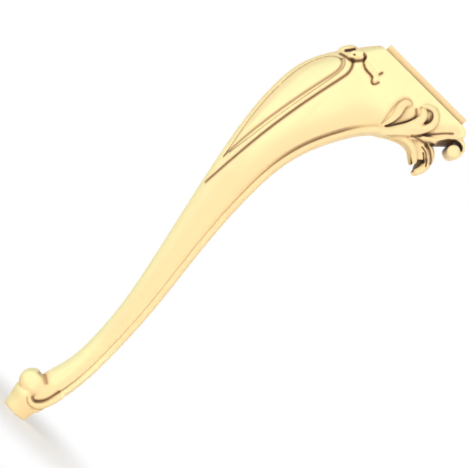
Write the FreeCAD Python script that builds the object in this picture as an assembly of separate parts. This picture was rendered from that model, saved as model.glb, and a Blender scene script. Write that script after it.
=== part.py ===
import FreeCAD
import Part
import math
import os

V = FreeCAD.Vector

# Carved cabriole table leg, cut from one piece of wood. Millimetres.
# The origin is on the floor under the middle of the foot. +Z runs up the leg, -X is the front of
# the knee, +X is the bracket behind it, and the leg is the same on both sides of the XZ plane.

# Overall height, floor to seat, and how far the knee and the bracket stand out from the foot's middle
leg_height = 740.0
knee_reach = 67.0
bracket_reach = 177.0

# Flat seat on top that takes the table's frame, set back from the body's top edges
seat_thickness = 10.0
seat_front_setback = 12.0
seat_rear_setback = 16.0
seat_side_setback = 6.0

# Half widths of the leg across Y
foot_half_width = 21.0
ankle_half_width = 19.5
knee_half_width = 36.0

# Round bead along both rear edges
bead_width = 11.0
shank_bead_height = 2.4
knee_bead_height = 4.0
back_inset = 7.0

# How pointed the front ridge is: 2 gives an ellipse, less gives a keel
ankle_keel = 1.7
knee_keel = 1.35
top_keel = 2.2
top_nose = 14.0

# Rounding of the bracket's top rear corner
corner_round = 15.0

# Carved lines of the knee panel
groove_width = 4.0
panel_groove_width = 3.4
groove_depth = 2.6

# Bow on the front ridge and its ribbon tails
ribbon_height = 2.6
bow_loop_radius = 7.5
bow_slot_width = 3.2

# Foot: round pad, toe roll over it and the hooked ends of the beads
pad_radius = 19.5
pad_flare_length = 26.0
pad_flare_width = 23.0
pad_flare_height = 29.0
toe_radius = 18.0
toe_half_width = 22.0
toe_forward = 13.0
toe_centre_height = 47.5
hook_radius = 5.0

# Roll at the back of the bracket, and the leaf under it
roll_width = 66.0
roll_eye_radius = 9.4
roll_eye_out = 1.5
roll_eye_below = 33.5
leaf_half_spread = 28.0

# How many flats the carver's round forms are cut with
rod_sides = 8
leaf_sides = 6
toe_sides = 14
pad_sides = 18

body_top = leg_height - seat_thickness
far_out = 90.0


# X at a distance behind the knee's front, or in front of the bracket's end
def behind_knee(distance):
    return distance - knee_reach


def before_end(distance):
    return bracket_reach - distance


# Curve of X against height. Points of the foot are given up from the floor and points of the knee
# down from the body's top, so a longer leg gets a longer shank.
def rising_curve(from_floor, below_top):
    points = [V(x, 0, z) for x, z in from_floor]
    points += [V(x, 0, body_top - drop) for x, drop in below_top]
    curve = Part.BSplineCurve()
    curve.interpolate(Points=points, Parameters=[p.z for p in points])
    return curve


front_curve = rising_curve(
    [(-14, 22), (-8, 68), (1, 100), (5, 152), (1, 208)],
    [(behind_knee(distance), drop) for distance, drop in (
        (51, 430), (28.5, 330), (8.5, 232), (0, 138), (7, 90), (21, 60), (48, 22), (66, 0))])
back_curve = rising_curve(
    [(25, 22), (37.5, 70), (43, 150), (38, 248)],
    [(26.5, 380), (20.5, 276), (24.5, 215)] + [(before_end(distance), drop) for distance, drop in (
        (138, 165), (119, 127), (85, 86), (55, 66), (25, 46), (9, 28), (2, 12), (0, 0))])
width_curve = rising_curve(
    [(foot_half_width, 22), (foot_half_width - 0.5, 70), (ankle_half_width, 150)],
    [(ankle_half_width + 5, 430), (knee_half_width - 5, 276), (knee_half_width, 127), (knee_half_width, 0)])


def blend(low, high, share):
    share = max(0.0, min(1.0, share))
    return low + (high - low) * share * share * (3 - 2 * share)


# Bead at one height: its width along X and how far it stands out from the side
def bead_shape(z):
    drop = body_top - z
    slope = back_curve.tangent(z)[0]
    lean = abs(slope.x / max(slope.z, 0.2))
    bead = bead_width * blend(min(2.0, math.sqrt(1 + lean * lean)), 1, (54 - drop) / 54)
    to_knee = (z - 200) / (body_top - 480)
    rise = blend(shank_bead_height, knee_bead_height, to_knee) * blend(1, 0, (54 - drop) / 36)
    return bead, rise


# Front ridge at one height: its foremost X, how deep it swells back to the flat of the side, and its keel
def ridge_shape(z, grow=0.0):
    front = front_curve.value(z).x - grow
    depth = back_curve.value(z).x + grow - bead_shape(z)[0] - front
    to_top = (120 - body_top + z) / 120
    to_knee = (z - 200) / (body_top - 480)
    nose = blend(min(0.94 * depth, 20 + 0.42 * depth), top_nose, to_top)
    keel = blend(blend(ankle_keel, knee_keel, to_knee), top_keel, to_top)
    return front, nose, keel


# Half width of the body at one place of the side view
def side_at(x, z):
    front, nose, keel = ridge_shape(z)
    turn = math.acos(1 - max(0.0, min(1.0, (x - front) / nose)))
    return (width_curve.value(z).x - bead_shape(z)[1]) * math.sin(turn) ** (2 / keel)


# Cross-section at one height: front ridge, swelling sides, two beads and a flat back
def section(z, grow=0.0):
    front, nose, keel = ridge_shape(z, grow)
    bead, rise = bead_shape(z)
    back = back_curve.value(z).x + grow
    half = width_curve.value(z).x + grow
    face = half - rise
    groove = back - bead

    outline = []
    for degrees in (0, 14, 28, 42, 58, 74, 90):
        turn = math.radians(degrees)
        outline.append((front + nose * (1 - math.cos(turn)), face * math.sin(turn) ** (2 / keel)))
    outline += [(groove, face), (groove + 0.2 * bead, half - 0.2 * rise), (groove + 0.55 * bead, half),
                (groove + 0.87 * bead, half - 0.35 * back_inset), (back, half - back_inset)]
    near = [V(x, -y, z) for x, y in outline]
    far = [V(x, y, z) for x, y in reversed(outline[1:])]
    return Part.makePolygon(near + far + [near[0]])


shank_levels = [22, 58, 96, 138, 184, 232]
knee_drops = [450, 402, 356, 312, 270, 232, 198, 167, 138, 112, 90, 72, 54, 36, 18, 0]


def body():
    levels = shank_levels + [body_top - drop for drop in knee_drops]
    return Part.makeLoft([section(z) for z in levels], True, False)


# Knee part of the body, shrunk or swollen, to carve into or raise from
def knee_layer(grow, highest, lowest):
    levels = [body_top - drop for drop in reversed(sorted(knee_drops)) if highest <= drop <= lowest]
    return Part.makeLoft([section(z, grow) for z in levels], True, False)


# Side-view points on the knee, given behind the knee's front and below the body's top
def knee_points(points):
    return [V(behind_knee(distance), 0, body_top - drop) for distance, drop in points]


# Points on the knee's own surface, with their height above it
def ridge_points(points):
    placed = []
    for distance, drop, out in points:
        x = behind_knee(distance)
        placed.append(V(x, -(side_at(x, body_top - drop) + out), body_top - drop))
    return placed


# Points on the bracket's side, given before its end, below the body's top and above the side
def bracket_points(points):
    return [V(before_end(distance), -(knee_half_width + out), body_top - drop) for distance, drop, out in points]


def smooth_edge(points):
    curve = Part.BSplineCurve()
    curve.interpolate(Points=points)
    return curve.toShape()


# Strip of even width along a line of the side view
def strip_wire(points, width):
    edges = []
    for distance in (width / 2, -width / 2):
        moved = []
        for i, p in enumerate(points):
            run = (points[min(i + 1, len(points) - 1)] - points[max(i - 1, 0)]).normalize()
            moved.append(p + V(-run.z, 0, run.x) * distance)
        edges.append(moved)
    one, two = edges
    return Part.Wire([smooth_edge(one), Part.makeLine(one[-1], two[-1]),
                      smooth_edge(list(reversed(two))), Part.makeLine(two[0], one[0])])


# Prism through the near side of the leg over a closed outline
def side_prism(wire):
    return Part.Face(wire).extrude(V(0, -far_out, 0))


# Tapered rod along a path, its section stretched or squashed across Y
def tapered_rod(points, radii, across=1.0, stations=9, sides=rod_sides):
    path = Part.BSplineCurve()
    path.interpolate(Points=points)
    spans = len(points) - 1
    rings = []
    for i in range(stations):
        share = i / (stations - 1)
        at = path.FirstParameter + (path.LastParameter - path.FirstParameter) * share
        middle = path.value(at)
        run = path.tangent(at)[0]
        low = min(int(share * spans), spans - 1)
        radius = radii[low] + (radii[low + 1] - radii[low]) * (share * spans - low)
        side = V(0, 1, 0) - run * run.y
        side.normalize()
        out = run.cross(side)
        ring = []
        for step in range(sides):
            turn = (step + 0.5) * 2 * math.pi / sides
            ring.append(middle + side * (radius * across * math.cos(turn)) + out * (radius * math.sin(turn)))
        rings.append(Part.makePolygon(ring + [ring[0]]))
    return Part.makeLoft(rings, True, False)


def both_sides(shape):
    return [shape, shape.mirror(V(0, 0, 0), V(0, 1, 0))]


# Grooves of the knee panel, cut to an even depth: the line outside it and the teardrop's two edges
def panel_grooves():
    outer = knee_points([(29.5, 309), (31.5, 280), (36.5, 221), (43.5, 167), (53.5, 111), (62.5, 69), (63.5, 59),
                         (61, 50), (55, 43)])
    rear = knee_points([(21.5, 266), (23.5, 231), (29.2, 181), (41.5, 112), (49.5, 75), (50, 65), (47, 56.5),
                        (41, 52.5)])
    fore = knee_points([(21.5, 266), (17.5, 242), (11, 206), (7, 165), (7, 128), (13, 91), (26, 63), (35, 54.5),
                        (43, 52.5)])
    core = knee_layer(-groove_depth, 8, 355)
    cuts = []
    for line, width in ((outer, groove_width), (rear, panel_groove_width), (fore, panel_groove_width)):
        cuts += both_sides(side_prism(strip_wire(line, width)).cut(core))
    return cuts


# Bow on the ridge: a slotted front loop, a side loop and a ribbon tail on each side
def bow():
    tail = knee_points([(64, 28.5), (67.5, 34.5), (73.5, 38.5), (82, 40.5), (90, 40.5), (94, 44), (98, 47), (102, 44),
                        (102.5, 39), (100, 33.5), (96.5, 29.5), (90, 29), (80, 27.5), (70.5, 25.5)])
    ribbon = side_prism(Part.makePolygon(tail + [tail[0]])).common(knee_layer(ribbon_height, 0, 90))
    ends = bow_loop_radius - 2.5
    front_loop = tapered_rod(ridge_points([(32, 42, 4), (41, 33, -2.4), (50, 23, -3.2)]),
                             [ends, bow_loop_radius, ends], across=1.0, stations=7)
    slot = side_prism(strip_wire(knee_points([(37, 37.5), (41, 34), (45.5, 28)]), bow_slot_width))
    front_loop = front_loop.cut(slot)
    side_loop = tapered_rod(ridge_points([(47, 41, -1.9), (54, 33, -1), (60, 24, 0)]),
                            [ends, bow_loop_radius, ends], across=0.8, stations=7)
    pieces = []
    for piece in (ribbon, front_loop, side_loop):
        pieces += both_sides(piece)
    return pieces


# Hooked scroll lobes that branch from the bead on the bracket's side
def scroll_lobes():
    hook = tapered_rod(bracket_points([(106, 103, -8), (86, 82.5, -3), (65, 62, -1), (52, 44, -1), (46, 31, 0),
                                       (49, 20, 0), (59, 14, 0), (69, 17, 0.5), (74, 23, 0)]),
                       [4, 6, 8, 8.5, 7.5, 6, 5, 4.5, 2.5], across=0.7, stations=11)
    inner = tapered_rod(bracket_points([(91, 88, -6), (81, 75, -3), (70, 59, -1), (63, 44, 0), (62, 34, 0.5),
                                        (67, 27, 0.5), (74, 26, 0)]),
                        [3, 5, 6, 6.5, 6.5, 5.5, 3], across=0.7)
    leaflet = tapered_rod(bracket_points([(97, 82, -5), (93, 75, -3), (90, 62, -2), (92, 49, -1), (94, 39, 0),
                                          (92, 31.5, 0), (86, 30.5, -0.5)]),
                          [2, 2.5, 4, 5.5, 5.5, 5, 2.5], across=0.6)
    pieces = []
    for lobe in (hook, inner, leaflet):
        pieces += both_sides(lobe)
    return pieces


# Rolled end of the bracket: a band that winds in to a round eye
def rear_roll():
    middle = V(bracket_reach + roll_eye_out, 0, body_top - roll_eye_below)

    def spiral(degrees, gap):
        turn = math.radians(degrees)
        reach = roll_eye_radius + gap
        return middle + V(reach * math.cos(turn), 0, reach * math.sin(turn))

    band = Part.Wire([
        Part.Arc(spiral(-75, 0.6), spiral(-22, 2.4), spiral(30, 4.8)).toShape(),
        Part.Arc(spiral(30, 4.8), spiral(75, 9.4), spiral(120, 14.5)).toShape(),
        Part.makeLine(spiral(120, 14.5), spiral(125, 6.8)),
        Part.Arc(spiral(125, 6.8), spiral(85, 4.0), spiral(40, 1.6)).toShape(),
        Part.makeLine(spiral(40, 1.6), spiral(20, -3)),
        Part.makeLine(spiral(20, -3), spiral(-75, 0.6))])
    edge = V(0, -roll_width / 2, 0)
    winding = Part.Face(band).extrude(V(0, roll_width, 0)).translated(edge)
    eye = Part.makeCylinder(roll_eye_radius, roll_width + 2, middle + edge - V(0, 1, 0), V(0, 1, 0))
    return [winding, eye]


# Acanthus leaf hanging under the bracket, as fingers that curl down behind the knee
def leaf():
    def finger(aside, points, radii, across):
        path = [V(before_end(distance), -aside * leaf_half_spread, body_top - drop) for distance, drop in points]
        return tapered_rod(path, radii, across, stations=8, sides=leaf_sides)

    pieces = [finger(0, [(64, 66), (44, 61), (26, 63), (13, 72), (8.5, 82), (12, 93), (19, 97)],
                     [6, 7, 7, 6.5, 5.5, 4, 2], 1.3)]
    sides = [finger(0.33, [(62, 63), (39, 57), (22, 58), (12, 66), (9, 80)], [6, 6.5, 6, 5, 2], 1.2),
             finger(0.68, [(60, 61), (39, 54), (23, 53), (13, 60), (10, 70)], [6, 6.5, 6, 5, 2], 1.2),
             finger(1, [(75, 76), (55, 69), (40, 71), (30, 80), (26, 86)], [6, 6.5, 6, 5, 2.5], 1.0)]
    for piece in sides:
        pieces += both_sides(piece)
    return pieces


def polygon_ring(point, sides):
    ring = [point(step * 2 * math.pi / sides) for step in range(sides)]
    return Part.makePolygon(ring + [ring[0]])


def foot():
    pad = []
    for z, length, width in ((0, pad_radius, pad_radius), (pad_flare_height, pad_flare_length, pad_flare_width),
                             (pad_flare_height + 5, pad_flare_length - 3, pad_flare_width - 2),
                             (pad_flare_height + 9, pad_flare_length - 10, pad_flare_width - 8)):
        pad.append(polygon_ring(lambda turn: V(length * math.cos(turn), width * math.sin(turn), z), pad_sides))
    toe = []
    for share, size in ((-1, 0.5), (-0.86, 0.78), (-0.45, 0.95), (0, 1), (0.45, 0.95), (0.86, 0.78), (1, 0.5)):
        toe.append(polygon_ring(lambda turn: V(size * toe_radius * math.cos(turn) - toe_forward, share * toe_half_width,
                                               size * toe_radius * math.sin(turn) + toe_centre_height), toe_sides))
    y = 1 - foot_half_width
    hook = tapered_rod([V(33, y + 2, 60), V(26, y, 38), V(18, y, 29), V(10, y - 1, 26), V(3, y - 1, 29), V(-1, y, 37)],
                       [0.7 * hook_radius, hook_radius, hook_radius, hook_radius, hook_radius, 0.7 * hook_radius],
                       across=0.8, stations=11)
    return [Part.makeLoft(pad, True, True), Part.makeLoft(toe, True, True)] + both_sides(hook)


def seat():
    sunk = seat_thickness / 2
    start = front_curve.value(body_top).x + seat_front_setback
    half = knee_half_width - seat_side_setback
    return Part.makeBox(bracket_reach - seat_rear_setback - start, 2 * half, seat_thickness + sunk,
                        V(start, -half, body_top - sunk))


# What is cut away to round the bracket's top rear corner
def corner_waste():
    corner = V(bracket_reach + 5, 0, body_top + 5)
    low = V(corner.x, 0, body_top - corner_round)
    high = V(before_end(corner_round), 0, corner.z)
    middle = V(before_end(0.3 * corner_round), 0, body_top - 0.3 * corner_round)
    waste = Part.Face(Part.Wire([Part.Arc(low, middle, high).toShape(), Part.makeLine(high, corner),
                                 Part.makeLine(corner, low)]))
    return waste.extrude(V(0, 2 * far_out, 0)).translated(V(0, -far_out, 0))


def carved_leg():
    leg = body().cut(corner_waste())
    for groove in panel_grooves():
        leg = leg.cut(groove)
    return leg.multiFuse([seat()] + foot() + rear_roll() + leaf() + scroll_lobes() + bow())


leg = carved_leg()
print("solids", len(leg.Solids), "valid", leg.isValid(), "volume", round(leg.Volume / 1000), "cm3")
os.makedirs("parts", exist_ok=True)
leg.Solids[0].exportStep("parts/carved_leg.step")
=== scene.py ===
import math

import bmesh
import bpy
import numpy as np
from mathutils import Matrix, Vector
from mathutils.bvhtree import BVHTree


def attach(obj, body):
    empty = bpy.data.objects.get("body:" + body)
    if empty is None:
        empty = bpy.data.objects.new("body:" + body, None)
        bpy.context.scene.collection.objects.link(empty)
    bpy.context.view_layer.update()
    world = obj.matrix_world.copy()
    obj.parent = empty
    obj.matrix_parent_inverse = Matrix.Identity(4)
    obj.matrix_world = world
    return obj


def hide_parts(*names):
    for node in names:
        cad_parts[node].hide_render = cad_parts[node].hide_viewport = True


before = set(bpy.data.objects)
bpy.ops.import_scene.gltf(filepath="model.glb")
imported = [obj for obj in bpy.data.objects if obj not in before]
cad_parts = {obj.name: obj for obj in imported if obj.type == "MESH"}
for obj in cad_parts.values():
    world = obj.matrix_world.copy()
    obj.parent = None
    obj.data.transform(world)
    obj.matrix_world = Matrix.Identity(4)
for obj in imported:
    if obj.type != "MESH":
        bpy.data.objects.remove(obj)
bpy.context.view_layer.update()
print("frame loaded")

# Lengths below are millimetres in the leg's own frame; the finished mesh is scaled to metres


def splineThrough(knots, values):  # smooth curve through the values at the knots
    knots = np.asarray(knots, float)
    values = np.asarray(values, float)
    gaps = np.diff(knots)
    system = np.eye(len(knots))
    target = np.zeros_like(values)
    for i in range(1, len(knots) - 1):
        system[i, i - 1:i + 2] = gaps[i - 1], 2 * (gaps[i - 1] + gaps[i]), gaps[i]
        target[i] = 6 * ((values[i + 1] - values[i]) / gaps[i] - (values[i] - values[i - 1]) / gaps[i - 1])
    bends = np.linalg.solve(system, target)

    def at(where):
        where = np.asarray(where, float)
        i = np.clip(np.searchsorted(knots, where) - 1, 0, len(knots) - 2)
        gap = gaps[i]
        left = knots[i + 1] - where
        right = where - knots[i]
        if values.ndim > 1:
            gap, left, right = gap[..., None], left[..., None], right[..., None]
        bent = (bends[i] * left ** 3 + bends[i + 1] * right ** 3) / (6 * gap)
        fromLeft = (values[i] / gap - bends[i] * gap / 6) * left
        fromRight = (values[i + 1] / gap - bends[i + 1] * gap / 6) * right
        return bent + fromLeft + fromRight

    return at


def pathThrough(points):  # smooth path through points, asked for with a share from 0 to 1
    points = np.asarray(points, float)
    steps = np.sqrt(np.linalg.norm(np.diff(points, axis=0), axis=1))
    return splineThrough(np.concatenate([[0], np.cumsum(steps)]) / steps.sum(), points)


def ease(low, high, value):
    share = np.clip((value - low) / (high - low), 0, 1)
    return share * share * (3 - 2 * share)


def addObject(name, data):
    thing = bpy.data.objects.new(name, data)
    bpy.context.scene.collection.objects.link(thing)
    return thing


def finishedMesh(thing):  # what a thing's modifiers make of it; the thing itself is dropped
    graph = bpy.context.evaluated_depsgraph_get()
    mesh = bpy.data.meshes.new_from_object(thing.evaluated_get(graph))
    bpy.data.objects.remove(thing)
    return mesh


def spotsOf(mesh):
    flat = np.empty(len(mesh.vertices) * 3)
    mesh.vertices.foreach_get("co", flat)
    return flat.reshape(-1, 3)


def facingOf(mesh):
    flat = np.empty(len(mesh.vertices) * 3)
    mesh.vertex_normals.foreach_get("vector", flat)
    return flat.reshape(-1, 3)


def moveSpots(mesh, spots):
    mesh.vertices.foreach_set("co", spots.ravel())
    mesh.update()


def edgesOf(mesh):  # the two ends of every edge, taken both ways
    ends = np.empty(len(mesh.edges) * 2, np.int32)
    mesh.edges.foreach_get("vertices", ends)
    return np.concatenate([ends[0::2], ends[1::2]]), np.concatenate([ends[1::2], ends[0::2]])


def meanBeside(values, here, there):  # mean of the values next to each spot
    return np.bincount(here, values[there], minlength=len(values)) / np.bincount(here, minlength=len(values))


# Silhouette of the leg in the side view: X of the front ridge and of the back against the height
frontAt = splineThrough(
    [22, 68, 100, 152, 208, 300, 400, 498, 592, 640, 670, 708, 730],
    [-14, -8, 1, 5, 1, -16, -38.5, -58.5, -67, -60, -46, -19, -1])
backAt = splineThrough(
    [22, 70, 150, 248, 350, 454, 515, 565, 603, 644, 664, 684, 702, 718, 730],
    [25, 37.5, 43, 38, 26.5, 20.5, 24.5, 39, 58, 92, 122, 152, 168, 175, 177])
halfAt = splineThrough([22, 70, 150, 300, 454, 603, 730], [21, 20.5, 19.5, 24.5, 31, 36, 36])

body = {
    "rows": 640, "columns": 400, "low": 22.0, "top": 730.0, "rear": 177.0, "cornerRound": 15.0,
    # shares of the way round, from the front ridge to the middle of the back
    "coveFrom": 0.2, "sideFrom": 0.5, "beadFrom": 0.74, "backFrom": 0.9,
    "beadWidth": 11.0, "shankBead": 2.4, "kneeBead": 4.0, "backInset": 7.0,
    "ankleKeel": 1.7, "kneeKeel": 1.35, "topKeel": 2.2, "topNose": 14.0,
    "coveWidth": 27.0, "coveDepth": 2.4,
    "quirkWidth": 1.2, "quirkSpread": 1.2, "quirkDepth": 2.2,
}
# heights, and the X that the bracket's end is cut back to inside the roll
rollHollow = [(645, 999), (676, 999), (681.7, 147), (692.5, 154), (702.4, 161), (707.3, 167), (714, 180),
              (730, 999)]


def kneeShare(z):  # 0 on the shank, 1 on the knee
    return ease(200, 450, z)


def leanAt(z):  # how much longer a level cut through the bead is than a square one
    slope = backAt(z + 0.5) - backAt(z - 0.5)
    return np.sqrt(1 + np.minimum(np.abs(slope), 5) ** 2)


def beadAt(z):  # width of the bead along the back, and how far it rises from the side
    drop = body["top"] - z
    wide = body["beadWidth"] * (1 + (np.minimum(2, leanAt(z)) - 1) * ease(0, 54, drop))
    rise = (body["shankBead"] + (body["kneeBead"] - body["shankBead"]) * kneeShare(z)) * ease(18, 54, drop)
    return wide, rise


def ridgeAt(z):  # X of the front ridge, how far behind it the side is flat, and how full the curve between is
    front = frontAt(z)
    deep = backAt(z) - beadAt(z)[0] - front
    toTop = ease(610, body["top"], z)
    keel = body["ankleKeel"] + (body["kneeKeel"] - body["ankleKeel"]) * kneeShare(z)
    nose = np.minimum(0.94 * deep, 20 + 0.42 * deep)
    return front, nose + (body["topNose"] - nose) * toTop, keel + (body["topKeel"] - keel) * toTop


def sideAt(x, z):  # half width of the plain body at a place of the side view
    front, nose, keel = ridgeAt(z)
    turn = np.arccos(1 - np.clip((x - front) / nose, 0, 1))
    return (halfAt(z) - beadAt(z)[1]) * np.sin(turn) ** (2 / keel)


def offBead(x, z):  # how far a place of the side view is from the bead's foot, square to the bead
    return (backAt(z) - beadAt(z)[0] - x) / leanAt(z)


def quirkAt(off, z):  # depth of the sharp cut between the bead and the side
    deep = body["quirkDepth"] * (0.4 + 0.6 * ease(380, 560, z)) * (1 - 0.85 * ease(600, 645, z))
    wide = body["quirkWidth"] + body["quirkSpread"] * ease(470, 570, z)
    return deep * ease(52, 66, z) * (1 - ease(650, 666, z)) * np.exp(-((off + 1) / wide) ** 2)


# Lines of the carving in the side view, X and Z
outerLine = [(-37.5, 421), (-35.5, 450), (-30.5, 509), (-23.5, 563), (-13.5, 619), (-4.5, 661), (-3.5, 671),
             (-6, 680), (-12, 687), (-17, 689.5)]
rearLine = [(-45, 464), (-43, 499), (-37, 549), (-24.7, 618), (-16.6, 655), (-16, 665), (-18.6, 674), (-24, 678)]
foreLine = [(-45, 464), (-49, 486), (-56, 524), (-60, 565), (-60.2, 602), (-54.5, 639), (-42, 666), (-33, 674.5),
            (-24, 678)]
rearEdge = [(-43.5, 474), (-39.3, 499), (-32.4, 549), (-20.7, 618), (-13.8, 655), (-13.2, 666), (-16.3, 676.5),
            (-22.5, 680.3)]
bandLine = [(-39, 470), (-36, 509), (-29.5, 560), (-18.5, 618), (-10.5, 658), (-9.7, 668), (-12.5, 678),
            (-19, 684)]
bowShadow = [(-31, 682.5), (-22, 684), (-16, 684.5), (-9, 688), (-4, 693), (-1, 698), (-2.5, 702), (-7, 703.5)]
ribbonLow = [(-1.5, 701), (0.5, 696.5), (5.5, 692.5), (13.5, 690), (23, 689.7), (26.3, 687.5), (28.5, 684.3),
             (31.5, 683), (34.7, 685.7), (36, 690)]
ribbonTop = [(36, 690), (34.8, 696), (30.5, 700), (23, 700.8), (13, 702), (5, 703.5), (-1.5, 701)]
ribbonPit = [(29, 698.3), (30.2, 702.5)]
ribbonLine = [(0.5, 709), (13, 707)]
leafletLine = [(84, 659), (90, 668), (91, 682), (89, 691), (91.5, 697)]
leafletEdge = [(80, 652), (76.5, 672), (76, 691), (79.5, 700.5), (86, 703.5), (92, 700)]
lobeLine = [(88, 652), (101, 671), (108, 685.5), (107.5, 693), (100.5, 700)]
lobeRoot = [(98, 645), (105, 652.5), (113, 660), (121, 666.5)]
hookHollow = [(105, 707), (110, 711), (118, 713.5), (124, 708), (125.5, 700), (121.5, 691)]
hookEdge = [(132.5, 680), (138, 693.5), (136, 706), (129, 716), (120, 721)]
bracketLine = [(117, 664), (132, 680.5), (141.5, 692.5), (151, 703.5), (157, 709.5), (160.5, 712.5)]

grooves = {  # line, width and depth; a groove with a depth below zero is a rib
    "outerGroove": (outerLine, 2.3, 3.0), "foreGroove": (foreLine, 1.3, 2.1),
    "rearGroove": (rearEdge, 1.3, 2.1), "bandCrown": (bandLine, 3.4, -0.8),
    "bowGroove": (bowShadow, 2.3, 3.6), "ribbonGroove": (ribbonLow, 1.7, 3.4),
    "ribbonNotch": (ribbonPit, 1.7, 3.6), "ribbonFold": (ribbonLine, 1.2, 0.5),
    "leafletInside": (leafletLine, 1.6, 1.0), "lobeEdge": (lobeLine, 2.4, 2.4),
    "hookInside": (hookHollow, 3.4, 2.4), "bracketEdge": (bracketLine, 1.7, 3.3),
    "hookOutside": (hookEdge, 2.0, 1.0), "leafletOutside": (leafletEdge, 1.8, 1.2),
    "lobeJoin": (lobeRoot, 1.8, 1.2),
}
carving = {"panelSlope": 5.2, "panelLip": 2.4, "panelDepth": 1.9, "pillow": 1.6, "ribbonRise": 3.2}


def lengthOf(line):
    return np.linalg.norm(np.diff(np.asarray(line, float), axis=0), axis=1).sum()


def alongLine(line, count):  # places along a smooth line in the leg's middle plane
    return pathThrough([(x, 0, z) for x, z in line])(np.linspace(0, 1, count))


def lineOnSide(line, spacing=0.5):
    track = alongLine(line, max(4, int(lengthOf(line) / spacing)))
    track[:, 1] = sideAt(track[:, 0], track[:, 2])
    return track


def distanceTo(track, points, reach, batch=4000):
    far = np.full(len(points), 1e3)
    low = track.min(0) - reach
    high = track.max(0) + reach
    near = np.flatnonzero(((points > low) & (points < high)).all(1))
    for part in np.array_split(near, max(1, len(near) // batch)):
        gaps = points[part, None, :] - track[None]
        far[part] = np.sqrt((gaps ** 2).sum(2).min(1))
    return far


def cutAlong(track, points, wide, deep):  # depth of a rounded cut along a track
    return deep * np.exp(-(distanceTo(track, points, 3 * wide) / wide) ** 2 * 1.2)


def insideOf(outline, x, z):
    inside = np.zeros(len(x), bool)
    for (xa, za), (xb, zb) in zip(outline, np.roll(outline, -1, axis=0)):
        crosses = (za > z) != (zb > z)
        if za != zb:
            inside ^= crosses & (x < (xb - xa) * (z - za) / (zb - za) + xa)
    return inside


def reliefOn(points):  # height of the carving above the plain body, for points with Y counted outwards
    x, z = points[:, 0], points[:, 2]
    height = np.zeros(len(points))
    for line, wide, deep in grooves.values():
        height -= cutAlong(lineOnSide(line), points, wide, deep)
    # teardrop panel: cut in along its rear edge, and pillowed inside
    rear, fore = lineOnSide(rearLine), lineOnSide(foreLine)
    inside = insideOf(np.concatenate([rear[:, ::2], fore[::-1, ::2]]), x, z)
    toRear = distanceTo(rear, points, 40)
    toEdge = np.minimum(toRear, distanceTo(fore, points, 40))
    slope = 1 - ease(0.4, carving["panelSlope"], toRear)
    lip = 1 - ease(0, carving["panelLip"], toRear)
    height -= carving["panelDepth"] * np.where(inside, slope, lip) * ease(458, 470, z)
    height += np.where(inside, carving["pillow"] * ease(0, 14, toEdge), 0)
    # ribbon tail: stands up at its lower edge and runs out at its upper one
    low, top = lineOnSide(ribbonLow), lineOnSide(ribbonTop)
    inside = insideOf(np.concatenate([low[:, ::2], top[:, ::2]]), x, z)
    toTop, toLow = distanceTo(top, points, 20), distanceTo(low, points, 20)
    height += np.where(inside, carving["ribbonRise"] * ease(0, 8, toTop) * ease(0, 2.2, toLow), 0)
    return height


def gridRound(name, along, around, place, carve=None):  # a grid laid round a form, welded and closed at its ends
    shape = bmesh.new()
    bmesh.ops.create_grid(shape, x_segments=around, y_segments=along, size=0.5)
    mesh = bpy.data.meshes.new(name)
    shape.to_mesh(mesh)
    turn, share = (spotsOf(mesh)[:, :2] + 0.5).T
    spots = place(turn, share)
    moveSpots(mesh, spots)
    if carve:
        moveSpots(mesh, carve(spots, facingOf(mesh), turn))
    shape.clear()
    shape.from_mesh(mesh)
    bmesh.ops.remove_doubles(shape, verts=shape.verts, dist=0.001)
    bmesh.ops.holes_fill(shape, edges=shape.edges)
    bmesh.ops.recalc_face_normals(shape, faces=shape.faces)
    shape.to_mesh(mesh)
    shape.free()
    return mesh


def asideAt(turn):  # 0 on the front ridge, 1 in the middle of the back
    return np.abs(2 * turn - 1)


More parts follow.
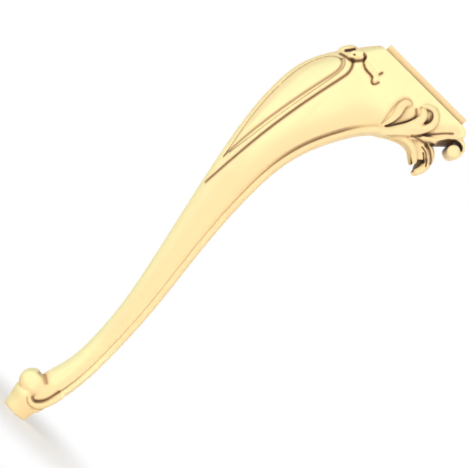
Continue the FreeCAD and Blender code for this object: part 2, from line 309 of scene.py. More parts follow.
def placeBody(turn, share):
    z = body["low"] + (body["top"] - body["low"]) * share
    aside = asideAt(turn)
    sideFrom, beadFrom, backFrom = body["sideFrom"], body["beadFrom"], body["backFrom"]
    front, nose, keel = ridgeAt(z)
    wide, rise = beadAt(z)
    half = halfAt(z)
    face = half - rise
    groove = backAt(z) - wide

    # round from the front ridge to the flat side, over the bead and across the back
    angle = np.clip(aside / sideFrom, 0, 1) * math.pi / 2
    x = front + nose * (1 - np.cos(angle))
    y = face * np.sin(angle) ** (2 / keel)
    flat = np.clip((aside - sideFrom) / (beadFrom - sideFrom), 0, 1)
    x = np.where(aside > sideFrom, front + nose + (groove - front - nose) * flat, x)
    roll = np.clip((aside - beadFrom) / (backFrom - beadFrom), 0, 1)
    up = face + rise * np.sqrt(1 - (1 - np.minimum(roll / 0.5, 1)) ** 2)
    down = body["backInset"] * (1 - np.sqrt(1 - np.clip((roll - 0.5) / 0.5, 0, 1) ** 2))
    x = np.where(aside > beadFrom, groove + wide * roll, x)
    y = np.where(aside > beadFrom, up - down, y)
    across = np.clip((aside - backFrom) / (1 - backFrom), 0, 1)
    y = np.where(aside > backFrom, (half - body["backInset"]) * (1 - across), y)

    # hollow cove beside the bead, and the sharp quirk that parts them
    off = offBead(x, z)
    grown = ease(180, 480, z)
    reach = body["coveWidth"] * (0.35 + 0.65 * grown)
    cove = body["coveDepth"] * (0.5 + 0.5 * grown) * (1 - ease(640, 690, z)) * ease(60, 110, z)
    y = y - np.where((aside > body["coveFrom"]) & (aside <= beadFrom), cove * (1 - ease(0, 1, off / reach)), 0)
    y = y - np.where(aside > beadFrom, cove * (1 - ease(0, 0.3, roll)), 0)
    y = y - np.where(aside < backFrom, quirkAt(off, z), 0)

    # the bracket's top rear corner is rounded off, and its end is hollowed inside the roll
    bend = body["cornerRound"]
    bent = np.sqrt(np.maximum(bend ** 2 - np.maximum(z - body["top"] + bend, 0) ** 2, 0))
    x = np.minimum(x, body["rear"] - bend + bent)
    x = np.minimum(x, np.interp(z, *np.transpose(rollHollow)))
    return np.stack([x, np.where(turn < 0.5, -y, y), z], 1)


def carveBody(spots, facing, turn):
    x, y, z = spots.T
    middle = np.stack([(frontAt(z) + backAt(z)) / 2, 0 * z, z], 1)
    if (facing * (spots - middle)).sum() < 0:
        facing = -facing
    height = reliefOn(np.stack([x, np.abs(y), z], 1)) * (asideAt(turn) < body["backFrom"])
    return spots + facing * height[:, None]


print("laying the body")
pieces = [gridRound("body", body["rows"], body["columns"], placeBody, carveBody)]


def addStem(name, points, radii, twin=True, across=1.0, around=28, along=90, stadium=0.0, tip=0.05):
    path = pathThrough(points)  # a stem is round, or drawn out sideways to a stadium, and tapers at its tips
    step = 0.002

    def place(turn, share):
        share = 0.5 - 0.5 * np.cos(share * math.pi)
        middle = path(share)
        run = path(np.minimum(share + step, 1)) - path(np.maximum(share - step, 0))
        run /= np.linalg.norm(run, axis=1)[:, None]
        side = np.array([0, 1, 0]) - run * run[:, 1:2]
        side /= np.linalg.norm(side, axis=1)[:, None]
        out = np.cross(run, side)
        ends = np.minimum(share, 1 - share) / tip
        size = np.maximum(np.interp(share, np.linspace(0, 1, len(radii)), radii), 0.05)
        size = size * np.sqrt(1 - (1 - np.minimum(ends, 1)) ** 2)
        angle = turn * 2 * math.pi
        wide = size * across * np.cos(angle) + stadium * np.clip(8 * np.cos(angle), -1, 1) * (ends > 0)
        return middle + side * wide[:, None] + out * (size * np.sin(angle))[:, None]

    mesh = gridRound(name, along, around, place)
    pieces.append(mesh)
    if twin:
        other = mesh.copy()
        other.transform(Matrix.Scale(-1, 4, (0, 1, 0)))
        other.flip_normals()
        pieces.append(other)


# Flat seat on top
seat = {"start": 11.0, "end": 161.0, "halfWidth": 30.0, "top": 740.0, "thickness": 15.0, "easing": 0.8}
plate = bmesh.new()
bmesh.ops.create_cube(plate, size=1.0)
bmesh.ops.scale(plate, vec=(seat["end"] - seat["start"], 2 * seat["halfWidth"], seat["thickness"]),
                verts=plate.verts)
bmesh.ops.translate(plate, vec=((seat["end"] + seat["start"]) / 2, 0, seat["top"] - seat["thickness"] / 2),
                    verts=plate.verts)
bmesh.ops.bevel(plate, geom=plate.edges[:], offset=seat["easing"], affect="EDGES", segments=2, profile=0.5,
                material=-1)
seatMesh = bpy.data.meshes.new("seat")
plate.to_mesh(seatMesh)
plate.free()
pieces.append(seatMesh)

# Foot: flared pad, toe roll over it and the hooked ends of the beads
foot = {"padRadius": 19.5, "flareLength": 26.0, "flareWidth": 23.0, "flareHeight": 29.0, "flareGrow": 1.3,
        "padHeights": [0, 0, 0, 0.5, 1.6, 15, 27, 31, 35, 38, 38],
        "padGrows": [0, 0.6, 0.93, 0.985, 1.0, 1.12, 1.27, 1.29, 1.15, 0.7, 0],
        "toeRadius": 18.0, "toeHalfWidth": 22.0, "toeX": -13.0, "toeZ": 47.5, "toeRun": 0.8, "toeTaper": 0.16,
        "toeNarrow": 0.2}


def placePad(turn, share):
    steps = np.linspace(0, 1, len(foot["padHeights"]))
    z = np.interp(share, steps, foot["padHeights"])
    grow = np.interp(share, steps, foot["padGrows"])
    flare = np.clip(z / foot["flareHeight"], 0, 1)
    radius = foot["padRadius"]
    long = radius * grow * (1 + flare * (foot["flareLength"] / radius / foot["flareGrow"] - 1))
    wide = radius * grow * (1 + flare * (foot["flareWidth"] / radius / foot["flareGrow"] - 1))
    angle = turn * 2 * math.pi
    return np.stack([long * np.cos(angle), wide * np.sin(angle), z], 1)


def placeToe(turn, share):
    aside = 2 * share - 1
    size = foot["toeRadius"] * (1 - foot["toeNarrow"] * np.abs(aside) ** 1.7) * (1 - np.abs(aside) ** 9) ** 0.35
    angle = turn * 2 * math.pi
    back = size * np.maximum(np.cos(angle), 0)  # drawn out to the back, where it runs into the foot
    return np.stack([foot["toeX"] + size * np.cos(angle) + foot["toeRun"] * back,
                     foot["toeHalfWidth"] * aside * (1 - foot["toeTaper"] * ease(0, foot["toeRadius"], back)),
                     foot["toeZ"] + size * np.sin(angle)], 1)


pieces.append(gridRound("pad", 90, 96, placePad))
pieces.append(gridRound("toe", 80, 80, placeToe))
addStem("beadHook", [(34, -17.5, 68), (30.6, -18.6, 56), (27, -19.6, 45), (21.5, -20.4, 35), (13.5, -21, 28.7),
                     (5.5, -21, 29.3), (1.2, -20, 34.5)],
        [3.6, 4.6, 5, 5.1, 5, 4.6, 2.8], across=0.85)
print("foot made")

# Bow on the ridge: a slotted front loop and a pitted side loop on each side
bow = {"loopRadius": 6.6}
addStem("frontLoop", [(-36, -4, 684.5), (-30.5, -8, 690), (-25, -11.5, 697), (-18.5, -16, 704.5)],
        [3.6, bow["loopRadius"], bow["loopRadius"] + 0.4, 3.6], around=60, tip=0.12)
addStem("sideLoop", [(-21, -23, 686.5), (-15.5, -27, 693), (-10, -30, 699.5), (-6, -32, 705)],
        [4, bow["loopRadius"], bow["loopRadius"], 3.8], around=60, across=0.9, tip=0.14)

# Hooked scroll lobes that branch from the bead on the bracket's side
lobes = {"hookHeight": 0.72, "innerHeight": 0.75, "leafletHeight": 0.55}
addStem("hook", [(75, -25, 636), (92, -33, 649), (112, -35, 668), (125, -35, 686), (131, -36, 699),
                 (128.5, -36, 710.5), (118.5, -36, 716.5), (108.5, -36.3, 713.5), (102, -36, 707.5)],
        [3, 6, 7.6, 7.8, 6.4, 5.4, 4.8, 4.4, 2.6], across=lobes["hookHeight"])
addStem("inner", [(84, -30, 640), (96, -33, 656), (107, -35, 671), (114, -36, 687), (115, -36.5, 698),
                  (111, -36.5, 705), (103.5, -36, 707.5)],
        [3, 5, 6.2, 6.6, 6.4, 5.4, 2.8], across=lobes["innerHeight"])
addStem("leaflet", [(80, -31, 646), (83.5, -33, 656), (86, -34, 669), (84.5, -35, 682), (82.5, -36, 691),
                    (85, -36, 698), (91, -35.5, 699.5)],
        [2, 2.8, 4.4, 5.6, 5.8, 5, 2.6], across=lobes["leafletHeight"])
print("bow and lobes made")

# Rolled end of the bracket: a sheet as wide as the leg that winds in to a round eye
rearRoll = {"halfWidth": 33.0, "sheetRound": 4.0, "eyeX": 178.5, "eyeZ": 696.5, "eyeRadius": 9.4,
            "eyeHalfWidth": 34.0, "coreHalfWidth": 20.0, "coreRound": 6.0}
addStem("rollSheet", [(137, 0, 673), (147, 0, 684), (154, 0, 694.7), (160.9, 0, 704.6), (167, 0, 711),
                      (175, 0, 714), (180.5, 0, 713), (185, 0, 709.8), (188, 0, 705.4), (189.2, 0, 700.5),
                      (188.8, 0, 694), (184, 0, 688.2), (178.5, 0, 687.4)],
        [4, 3.4, 3.2, 3.2, 3.5, 3.75, 3.3, 2.75, 2.2, 1.8, 1.5, 1.2, 0.8], twin=False, around=64, along=180,
        stadium=rearRoll["halfWidth"] - rearRoll["sheetRound"], tip=0.01)

# Wood left standing deep inside the roll, between the sheet and the eye
addStem("rollCore", [(142, 0, 681), (153.5, 0, 693.5), (163.5, 0, 702), (170, 0, 708)], [7, 7.5, 6.5, 6],
        twin=False, around=48, stadium=rearRoll["coreHalfWidth"] - rearRoll["coreRound"])


def placeEye(turn, share):
    aside = 2 * share - 1
    size = rearRoll["eyeRadius"] * (1 - np.abs(aside) ** 30) ** 0.4
    angle = turn * 2 * math.pi
    return np.stack([rearRoll["eyeX"] + size * np.cos(angle), rearRoll["eyeHalfWidth"] * aside,
                     rearRoll["eyeZ"] + size * np.sin(angle)], 1)


pieces.append(gridRound("eye", 160, 64, placeEye))

# Leaf under the bracket: fingers that curl down behind the knee
leaf = {"midWide": 1.3, "fingerWide": 1.15, "lobeWide": 1.0, "heartWide": 9}
addStem("leafMiddle", [(113, 0, 664), (133, 0, 669.5), (151, 0, 671), (161.5, 0, 665), (165.5, 0, 656),
                       (165.5, 0, 647), (162.5, 0, 639.5), (158.5, 0, 635)],
        [6, 7, 7, 6.4, 6, 5.6, 4.6, 2.6], twin=False, across=leaf["midWide"])
addStem("leafInner", [(115, -9, 667), (138, -9.5, 673), (153, -10, 673.5), (162, -10, 666.5), (165.5, -10, 657),
                      (165.6, -10, 647.5), (162.8, -9.6, 640), (159, -9, 635.8)],
        [6, 6.5, 6.3, 6, 5.8, 5.6, 4.4, 2.5], across=leaf["fingerWide"])
addStem("leafOuter", [(117, -18, 669), (138, -19, 675.5), (153, -19.5, 675.5), (162, -19.8, 668),
                      (165.3, -19.8, 658), (165.5, -19.6, 648), (163.2, -18.8, 641), (160.5, -18, 637)],
        [6, 6.5, 6, 5.8, 5.9, 5.9, 5.2, 3.8], across=leaf["fingerWide"])
addStem("leafSide", [(112, -20, 664.5), (128, -22, 669.5), (141, -22.5, 670.5), (151, -22.5, 666),
                     (158.5, -21.5, 658.5)],
        [5, 5.5, 6.2, 6.2, 4.6], across=leaf["fingerWide"])
addStem("leafLow", [(112, -21, 660.5), (128, -23, 664.5), (140, -23.5, 663.5), (148.5, -23.5, 659.3),
                    (153.5, -22.5, 655.5)],
        [5, 7, 6.6, 5.8, 3.6], across=leaf["fingerWide"])
addStem("leafHeart", [(140, 0, 664), (152, 0, 660), (158.5, 0, 652), (160, 0, 645.5), (161, 0, 641)],
        [6, 6, 6, 5, 3], twin=False, around=48, stadium=leaf["heartWide"])
addStem("leafLobe", [(100, -25, 651), (113, -28, 658.5), (127, -29, 661.2), (137, -29, 659), (145.5, -29, 652.5),
                     (152, -28, 645)],
        [4.5, 5, 5, 5.2, 4.9, 2.8], across=leaf["lobeWide"])
print("roll and leaf made")

# Everything above is one piece of wood, so the forms are run together into one skin
skin = {"grain": 0.9, "softness": 0.5, "smoothing": 3, "mostTriangles": 172000, "levelling": 10,
        "plainBelow": 0.05, "margin": 5, "carvedWeight": 0.3, "keepCarving": 0.004,
        "longestEdge": 6.8, "shortestEdge": 0.08, "thinnest": 0.045}
whole = bmesh.new()
for piece in pieces:
    whole.from_mesh(piece)
rough = bpy.data.meshes.new("roughLeg")
whole.to_mesh(rough)
whole.free()
roughLeg = addObject("roughLeg", rough)
remesh = roughLeg.modifiers.new("oneSkin", "REMESH")
remesh.mode = "VOXEL"
remesh.voxel_size = skin["grain"]
remesh.use_smooth_shade = True
soften = roughLeg.modifiers.new("soften", "SMOOTH")
soften.factor = skin["softness"]
soften.iterations = skin["smoothing"]
legMesh = finishedMesh(roughLeg)
print("one skin of", len(legMesh.polygons), "faces")

# Last fine cuts on the skin: X and Z of the line, its width, its depth, and how far from the middle it starts
fineCuts = {
    "footInside": ([(26, 66), (25, 62), (23.4, 54), (20.4, 43.5), (15.5, 36.3), (10.3, 33), (4.8, 34.6)],
                   1.9, 2.4, 12),
    "footOutside": ([(27, 31.5), (21.2, 26.2), (13.3, 23.6), (5.3, 24), (-0.6, 29.5)], 1.2, 1.2, 12),
    "toeCrease": ([(-13, 64.5), (-6.5, 65.8), (-0.5, 64.3), (5, 61.3)], 2.6, 1.4, -2),
    "bowSlot": ([(-28.5, 690.9), (-24, 695.5), (-20.6, 701.4)], 1.5, 3.2, 5),
    "bowPit": ([(-16, 693.2), (-14.6, 693.6)], 1.4, 2.6, 12),
    "seatFoot": ([(12, 730.7), (160, 730.7)], 1.0, 0.5, 20),
    "hookHollow": ([(105.5, 708.5), (112, 712), (119, 712.3), (124, 707.3), (125.3, 700.4), (122.5, 692.5)],
                   2.6, 0.7, 20),
    "bandTop": ([(121.8, 668.4), (126, 673.2), (130.5, 678.5)], 1.5, 2.8, 12),
    "hookRoot": ([(97, 644.5), (105, 652.8), (113, 660.5), (121.8, 668.4)], 1.6, 1.1, 20),
    "bandUnder": ([(122.2, 670.2), (132.1, 673.2), (140, 676.2), (147, 681.1), (151.9, 682.6)], 1.8, 2.2, 12),
    "leafVein1": ([(127.2, 671.7), (137, 674.7), (145, 675.7), (152.9, 674.2), (159.8, 670.3), (165.8, 665.3),
                   (168.7, 661.8)], 1.9, 2.5, 18),
    "leafVein2": ([(143, 669.3), (148.9, 668.8), (154.9, 666.3), (160.8, 660.8), (166.3, 654.4)], 1.25, 2.6, 18),
    "leafVein3": ([(149.9, 664.9), (154.9, 661.3), (159.8, 656.4)], 1.25, 2.6, 18),
    "leafVein4": ([(153.9, 671.7), (160.8, 667.3), (167.7, 659.4)], 1.0, 1.4, 18),
}


def fineDepth(spots, facing, spacing=0.4):  # how deep the fine cuts go, on faces that look outwards
    depth = np.zeros(len(spots))
    aside = np.abs(spots[:, 1])
    outward = facing[:, 1] * np.sign(spots[:, 1])
    level = spots * [1, 0, 1]
    for line, wide, deep, start in fineCuts.values():
        cut = cutAlong(alongLine(line, int(lengthOf(line) / spacing) + 8), level, wide, deep)
        depth = np.maximum(depth, cut * ease(start - 1, start + 1, aside) * ease(-0.25, 0.15, outward))
    return depth


spots, facing = spotsOf(legMesh), facingOf(legMesh)
spots = spots - facing * fineDepth(spots, facing)[:, None]
moveSpots(legMesh, spots)
facing = facingOf(legMesh)
print("fine cuts made")

# Plain surfaces need fewer faces than carved ones, so the skin is thinned there first
here, there = edgesOf(legMesh)
levelled = spots.copy()
for _ in range(skin["levelling"]):
    for axis in range(3):
        levelled[:, axis] += 0.6 * (meanBeside(levelled[:, axis], here, there) - levelled[:, axis])
hollows = ((levelled - spots) * facing).sum(1)
carved = (np.abs(hollows) > skin["plainBelow"]).astype(float)
for _ in range(skin["margin"]):
    carved = np.maximum(carved, meanBeside(carved, here, there) > 0)
thinLeg = addObject("thinLeg", legMesh)
plain = thinLeg.vertex_groups.new(name="plain")
plain.add(np.flatnonzero(carved == 0).tolist(), 1.0, "REPLACE")
plain.add(np.flatnonzero(carved > 0).tolist(), skin["carvedWeight"], "REPLACE")
thin = thinLeg.modifiers.new("thin", "DECIMATE")
thin.vertex_group = "plain"
thin.vertex_group_factor = skin["keepCarving"]
thin.ratio = skin["mostTriangles"] / sum(len(polygon.vertices) - 2 for polygon in legMesh.polygons)
legMesh = finishedMesh(thinLeg)
legMesh.name = "carvedLeg"
print("thinned to", len(legMesh.polygons), "faces")


def triangulate(shape):
    bmesh.ops.triangulate(shape, faces=[face for face in shape.faces if len(face.verts) > 3])


def dropNeedles(shape, passes=4):  # thinning leaves a few needle faces, which would show as specks
    for _ in range(passes):
        bmesh.ops.remove_doubles(shape, verts=shape.verts, dist=skin["shortestEdge"])
        triangulate(shape)
        blunt, beside = {}, set()
        for face in shape.faces:
            longest = max(face.edges, key=bmesh.types.BMEdge.calc_length)
            if 2 * face.calc_area() < skin["thinnest"] * longest.calc_length() ** 2:
                tips = [vert for vert in face.verts if vert not in longest.verts and vert not in beside]
                blunt.update(dict.fromkeys(tips))
                beside.update(edge.other_vert(vert) for vert in tips for edge in vert.link_edges)
        bmesh.ops.dissolve_verts(shape, verts=list(blunt))
        triangulate(shape)


evened = bmesh.new()
evened.from_mesh(legMesh)
dropNeedles(evened)
for _ in range(4):  # long faces are parted again, so that the painted shade doesn't smear across them
    long = [edge for edge in evened.edges if edge.calc_length() > skin["longestEdge"]]
    bmesh.ops.subdivide_edges(evened, edges=long, cuts=1)
    triangulate(evened)
dropNeedles(evened)
bmesh.ops.recalc_face_normals(evened, faces=evened.faces)
evened.to_mesh(legMesh)
evened.free()
print("evened to", len(legMesh.polygons), "faces")

# Painted shade: the colour is darkened in the cut lines, and in corners that little light reaches
shadePaint = {"quirk": 1.2, "footQuirk": 1.5, "fineCut": 1.3, "middle": 2.0, "rays": 20, "reach": 32.0, "lift": 0.6,
         "inside": 0.5}
spots, facing = spotsOf(legMesh), facingOf(legMesh)
here, there = edgesOf(legMesh)
x, y, z = spots.T
aside = np.abs(y)
outward = facing[:, 1] * np.sign(y)
onPlain = np.stack([x, sideAt(x, z), z], 1)
proud = aside - onPlain[:, 1]
off = offBead(x, z)
# how dark the painted shade gets in the cut lines, the quirk and the fine cuts
relief = -reliefOn(onPlain) * (1 - ease(0.5, 2.4, proud)) * ease(0.05, 0.3, outward)
quirk = (shadePaint["quirk"] + shadePaint["footQuirk"] * (1 - ease(62, 125, z))) * quirkAt(off, z)
cutDepth = np.maximum(relief, quirk * (1 - ease(1.5, 3.5, proud))) * (aside > shadePaint["middle"])
cutDepth = np.maximum(cutDepth, shadePaint["fineCut"] * fineDepth(spots, facing))


def shadeOn(mesh):  # how much of the sky over each spot is hidden by wood close by
    spots, facing = spotsOf(mesh), facingOf(mesh)
    tree = BVHTree.FromPolygons(spots.tolist(), [polygon.vertices[:] for polygon in mesh.polygons])
    turns = np.arange(shadePaint["rays"]) + 0.5
    rise = np.sqrt(1 - turns / shadePaint["rays"])
    around = turns * math.pi * (3 - math.sqrt(5))
    fan = np.stack([np.sqrt(1 - rise ** 2) * np.cos(around), np.sqrt(1 - rise ** 2) * np.sin(around), rise], 1)
    shade = np.zeros(len(spots))
    for i, (spot, normal) in enumerate(zip(spots, facing)):
        across = np.cross(normal, (0.36, 0.48, 0.8))
        across /= np.linalg.norm(across)
        base = np.stack([across, np.cross(normal, across), normal])
        start = Vector(spot + normal * shadePaint["lift"])
        for ray in (fan @ base).tolist():
            met = tree.ray_cast(start, Vector(ray), shadePaint["reach"])[3]
            if met is not None:
                shade[i] += 1 - met / shadePaint["reach"]
    return shade / shadePaint["rays"]


def softened(values, passes):
    for _ in range(passes):
        values = 0.4 * values + 0.6 * meanBeside(values, here, there)
    return values


# painted shade from how much of the sky the nearby wood hides
shade = shadeOn(legMesh)
# The inside of the roll and of the curled leaf gets the darkest painted shade: X and Z of its middle, the
# distances from there and the heights that it lies between, half the width that it is sunken in, and if its
# lining gets painted shade too
insides = {
    "roll": {"middle": (rearRoll["eyeX"], rearRoll["eyeZ"]), "away": (9.8, 28), "heights": (683, 712),
             "sunken": 26, "lined": True},
    "leaf": {"middle": (149, 648), "away": (4, 18), "heights": (634, 661), "sunken": 17, "lined": False},
}
for inside in insides.values():
    across, up = inside["middle"][0] - x, inside["middle"][1] - z
    away = np.hypot(across, up)
    toward = (facing[:, 0] * across + facing[:, 2] * up) / away
    dark = (1 - ease(inside["sunken"] - 2, inside["sunken"] + 2, aside)) * ease(-0.5, 0.0, toward)
    if inside["lined"]:
        dark = np.maximum(dark, ease(0.1, 0.6, toward) * (1 - ease(0.0, 0.4, facing[:, 2])))
    near, far = inside["away"]
    low, high = inside["heights"]
    dark = dark * ease(near, near + 2, away) * (1 - ease(far - 6, far + 4, away))
    dark = dark * ease(low, low + 4, z) * (1 - ease(high - 3, high, z))
    shade = np.maximum(shade, shadePaint["inside"] * dark)
shade = softened(shade, 3)

# Painted warm shade: the colour turns warmer on faces turned down or to the front, beside the bead, in the cove,
# round the ornament, leaf, roll and band, and where the painted shade lies; the shank and foot are tinted warmer
# as well
warmShadeAmount = {"shank": 0.95, "frontEdge": 0.7, "ridge": 0.3, "kneeRidge": 0.4, "lobes": 0.82, "hook": 0.25,
        "roll": 0.5, "band": 0.85, "foot": 0.75, "bead": 0.8}
down = 0.15 * facing[:, 0] - facing[:, 2]
high = ease(630, 680, z)
knee = ease(430, 560, z)
hanging = ease(610, 632, z)
frontEdge = warmShadeAmount["frontEdge"] * ease(0.25, 0.8, -facing[:, 0])
ornament = ease(66, 76, x) * (1 - warmShadeAmount["hook"] * ease(90, 98, x)) * ease(630, 650, z)
toBand = distanceTo(lineOnSide(bracketLine), onPlain, 18)
warmShadeParts = {
    "cove": (1 - ease(2, 42, np.abs(off - 4))) * ease(250, 400, z) * (1 - ease(640, 700, z)),
    "turnedDown": ease(-0.06, 0.22, down) * (1 - high) + ease(0.25, 0.7, down) * high,
    "shank": warmShadeAmount["shank"] * ease(90, 200, z) * (1 - knee) * (1 - frontEdge),
    "ridge": (warmShadeAmount["ridge"] + warmShadeAmount["kneeRidge"] * knee) * ease(0.4, 0.85, -facing[:, 0]),
    "lobes": warmShadeAmount["lobes"] * ease(0.8, 2.0, proud) * ornament,
    "leaf": ease(100, 120, x) * (1 - ease(674, 690, z)) * hanging,
    "roll": warmShadeAmount["roll"] * ease(160, 170, x) * (1 - ease(706, 716, z)) * hanging,
    "band": warmShadeAmount["band"] * (1 - ease(6, 18, toBand)),
    "foot": warmShadeAmount["foot"] * ease(-12, 2, x) * (1 - ease(60, 72, z)),
    "bead": warmShadeAmount["bead"] * (1 - ease(3, 12, np.abs(off - 3))) * (1 - ease(250, 400, z)) * ease(55, 70, z),
    "shaded": ease(0.0, 0.11, shade),
}
warmShade = softened(np.maximum.reduce(list(warmShadeParts.values())), 2)
for name, values in {"cutDepth": cutDepth, "shade": shade, "warmShade": warmShade}.items():
    layer = legMesh.attributes.new(name, "FLOAT", "POINT")
    layer.data.foreach_set("value", values.astype(np.float32))
print("stain settled")

legMesh.transform(Matrix.Scale(0.001, 4))
carvedLeg = addObject("carvedLeg", legMesh)
for polygon in legMesh.polygons:
    polygon.use_smooth = True
print("carved leg has", len(legMesh.polygons), "faces")

# Pale wood, with painted warm shade and painted dark shade in the hollows
finish = {
    "cream": (0.975, 0.94, 0.51, 1), "honey": (0.97, 0.74, 0.395, 1), "toffee": (0.6, 0.37, 0.18, 1),
    "umber": (0.1, 0.052, 0.018, 1), "grainTint": (0.86, 0.72, 0.38, 1), "roughness": 0.5,
    "grainStretch": (130, 130, 5), "grainBump": 0.12,
}


def startNodes(owner):
    owner.use_nodes = True
    return owner.node_tree.nodes, owner.node_tree.links


def addNode(kind, **sockets):
    node = nodes.new(kind)
    for socket, value in sockets.items():
        node.inputs[socket].default_value = value
    return node


def mixColors(factor, one, two):
    mix = nodes.new("ShaderNodeMix")
    mix.data_type = "RGBA"
    for socket, value in ((0, factor), (6, one), (7, two)):
        if isinstance(value, tuple):
            mix.inputs[socket].default_value = value
        else:
            links.new(value, mix.inputs[socket])
    return mix.outputs[2]


def rangeOf(value, low, high, toLow=0.0, toHigh=1.0):
    span = nodes.new("ShaderNodeMapRange")
    span.interpolation_type = "SMOOTHSTEP"
    for socket, number in (("From Min", low), ("From Max", high), ("To Min", toLow), ("To Max", toHigh)):
        span.inputs[socket].default_value = number
    links.new(value, span.inputs["Value"])
    return span.outputs["Result"]


def layerOf(name):
    node = nodes.new("ShaderNodeAttribute")
    node.attribute_name = name
    return node.outputs["Fac"]


def combine(operation, one, two):
    node = nodes.new("ShaderNodeMath")
    node.operation = operation
    links.new(one, node.inputs[0])
    links.new(two, node.inputs[1])
    return node.outputs["Value"]


def mixShaders(factor, one, two):
    blend = nodes.new("ShaderNodeMixShader")
    for socket, value in enumerate((factor, one, two)):
        links.new(value, blend.inputs[socket])
    return blend.outputs["Shader"]


wood = bpy.data.materials.new("paleCarvedWood")
nodes, links = startNodes(wood)
shader = nodes["Principled BSDF"]
place = nodes.new("ShaderNodeTexCoord").outputs["Object"]
stretch = addNode("ShaderNodeMapping", Scale=finish["grainStretch"])
links.new(place, stretch.inputs["Vector"])
grainNoise = addNode("ShaderNodeTexNoise", Scale=1.6, Detail=5.0, Roughness=0.6)
links.new(stretch.outputs["Vector"], grainNoise.inputs["Vector"])
grain = grainNoise.outputs["Fac"]
figure = addNode("ShaderNodeTexNoise", Scale=9.0, Detail=2.0, Roughness=0.5)
links.new(place, figure.inputs["Vector"])
axes = nodes.new("ShaderNodeSeparateXYZ")
links.new(place, axes.inputs["Vector"])
cuts, corners = layerOf("cutDepth"), layerOf("shade")
grainAndShadeLayers = [  # what a layer follows, where it begins and is full, how strong it is then, and its colour; the grain and figure are the wood's own, the seat above its foot line is tinted honey, and the last five layers are painted shade
    (grain, 0.45, 0.75, 0.16, "grainTint"),
    (figure.outputs["Fac"], 0.4, 0.75, 0.1, "honey"),
    (axes.outputs["Z"], 0.7302, 0.7312, 0.9, "honey"),
    # painted warm shade, then painted dark shade in corners and in the cut lines
    (layerOf("warmShade"), 0.0, 1.0, 0.9, "honey"),
    (corners, 0.08, 0.3, 0.65, "toffee"),
    (cuts, 0.15, 1.4, 0.75, "toffee"),
    (cuts, 0.9, 3.2, 0.85, "umber"),
    (corners, 0.18, 0.48, 0.97, "umber"),
]
color = finish["cream"]
for follows, start, full, strength, layerColour in grainAndShadeLayers:
    color = mixColors(rangeOf(follows, start, full, 0.0, strength), color, finish[layerColour])
links.new(color, shader.inputs["Base Color"])
links.new(rangeOf(grain, 0.3, 0.8, finish["roughness"] - 0.06, finish["roughness"] + 0.1),
          shader.inputs["Roughness"])
bump = addNode("ShaderNodeBump", Strength=finish["grainBump"], Distance=0.0004)
links.new(grain, bump.inputs["Height"])
links.new(bump.outputs["Normal"], shader.inputs["Normal"])
legMesh.materials.clear()
legMesh.materials.append(wood)

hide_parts("carved_leg")
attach(carvedLeg, "root")
print("wood finished")

# Pale floor that fades to white away from the leg and keeps its shadow
paper = {"size": 30, "drop": 0.0005, "color": (0.95, 0.95, 0.95, 1), "roughness": 0.9, "fade": (0.03, 0.22),
         "leastGlow": 0.4}
floorMesh = bpy.data.meshes.new("floor")
ground = bmesh.new()
bmesh.ops.create_grid(ground, x_segments=1, y_segments=1, size=paper["size"])
ground.to_mesh(floorMesh)
ground.free()
floor = addObject("floor", floorMesh)
floor.location.z = -paper["drop"]
whitePaper = bpy.data.materials.new("whitePaper")
nodes, links = startNodes(whitePaper)
shader = nodes["Principled BSDF"]
shader.inputs["Base Color"].default_value = paper["color"]
shader.inputs["Roughness"].default_value = paper["roughness"]
shader.inputs["Specular IOR Level"].default_value = 0.0
glow = addNode("ShaderNodeEmission", Color=(1, 1, 1, 1), Strength=1.0)
away = nodes.new("ShaderNodeVectorMath")
away.operation = "LENGTH"
links.new(nodes.new("ShaderNodeTexCoord").outputs["Object"], away.inputs[0])
fade = rangeOf(away.outputs["Value"], *paper["fade"], paper["leastGlow"], 1.0)
sight = nodes.new("ShaderNodeLightPath").outputs
seen = combine("MAXIMUM", sight["Is Camera Ray"], sight["Is Glossy Ray"])
surface = mixShaders(combine("MULTIPLY", fade, seen), shader.outputs["BSDF"], glow.outputs["Emission"])
links.new(surface, nodes["Material Output"].inputs["Surface"])
floorMesh.materials.append(whitePaper)

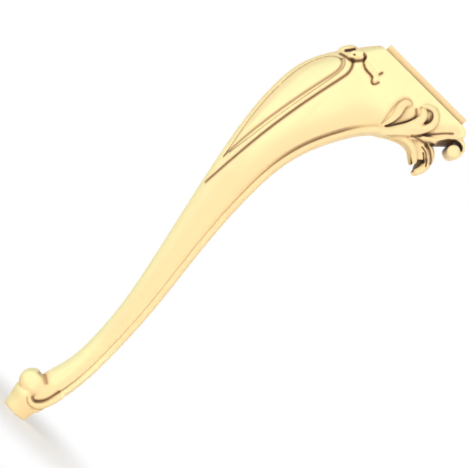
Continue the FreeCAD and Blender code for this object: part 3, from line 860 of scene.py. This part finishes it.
# Soft studio light: a plain sky that is white to the eye, and large lamps round the leg
studio = {"skyColor": (1.0, 0.95, 0.89, 1), "skyStrength": 0.37, "aim": (0.06, 0, 0.45)}
lamps = {
    "key": {"at": (-1.4, -3.4, 2.7), "size": 1.8, "power": 49, "color": (1.0, 0.99, 0.96)},
    "low": {"at": (-1.4, -0.75, 0.32), "size": 0.6, "power": 6, "color": (1.0, 0.98, 0.94)},
    "side": {"at": (1.9, -1.6, 0.1), "size": 1.4, "power": 22, "color": (1.0, 0.94, 0.88)},
    "under": {"at": (0.5, -0.8, 0.08), "size": 0.4, "power": 2.6, "color": (1.0, 0.95, 0.88)},
    "rim": {"at": (1.6, 1.4, 1.6), "size": 1.4, "power": 9, "color": (1.0, 0.96, 0.9)},
}
sky = bpy.data.worlds.new("studio")
bpy.context.scene.world = sky
nodes, links = startNodes(sky)
nodes.clear()
fill = addNode("ShaderNodeBackground", Color=studio["skyColor"], Strength=studio["skyStrength"])
white = addNode("ShaderNodeBackground", Color=(1, 1, 1, 1), Strength=1.0)
sight = nodes.new("ShaderNodeLightPath").outputs
seen = combine("MAXIMUM", sight["Is Camera Ray"], sight["Is Glossy Ray"])
seen = combine("MAXIMUM", seen, sight["Is Transmission Ray"])
surface = mixShaders(seen, fill.outputs["Background"], white.outputs["Background"])
links.new(surface, nodes.new("ShaderNodeOutputWorld").inputs["Surface"])
for name, lamp in lamps.items():
    data = bpy.data.lights.new(name, "AREA")
    data.size = lamp["size"]
    data.energy = lamp["power"]
    data.color = lamp["color"]
    light = addObject(name, data)
    light.location = lamp["at"]
    toLeg = Vector(studio["aim"]) - light.location
    light.rotation_euler = toLeg.to_track_quat("-Z", "Y").to_euler()

# Camera square to the leg's side and rolled by an eighth of a turn
view = {"lens": 131.5, "sensor": 36, "at": (0.043, -2.424, 0.397)}
lens = bpy.data.cameras.new("camera")
lens.lens = view["lens"]
lens.sensor_width = view["sensor"]
camera = addObject("camera", lens)
tilt = math.sqrt(0.5)
rolled = Matrix(((tilt, -tilt, 0, 0), (0, 0, -1, 0), (tilt, tilt, 0, 0), (0, 0, 0, 1)))
camera.matrix_world = Matrix.Translation(view["at"]) @ rolled
bpy.context.scene.camera = camera
bpy.context.scene.view_settings.view_transform = "Standard"
print("stage set")
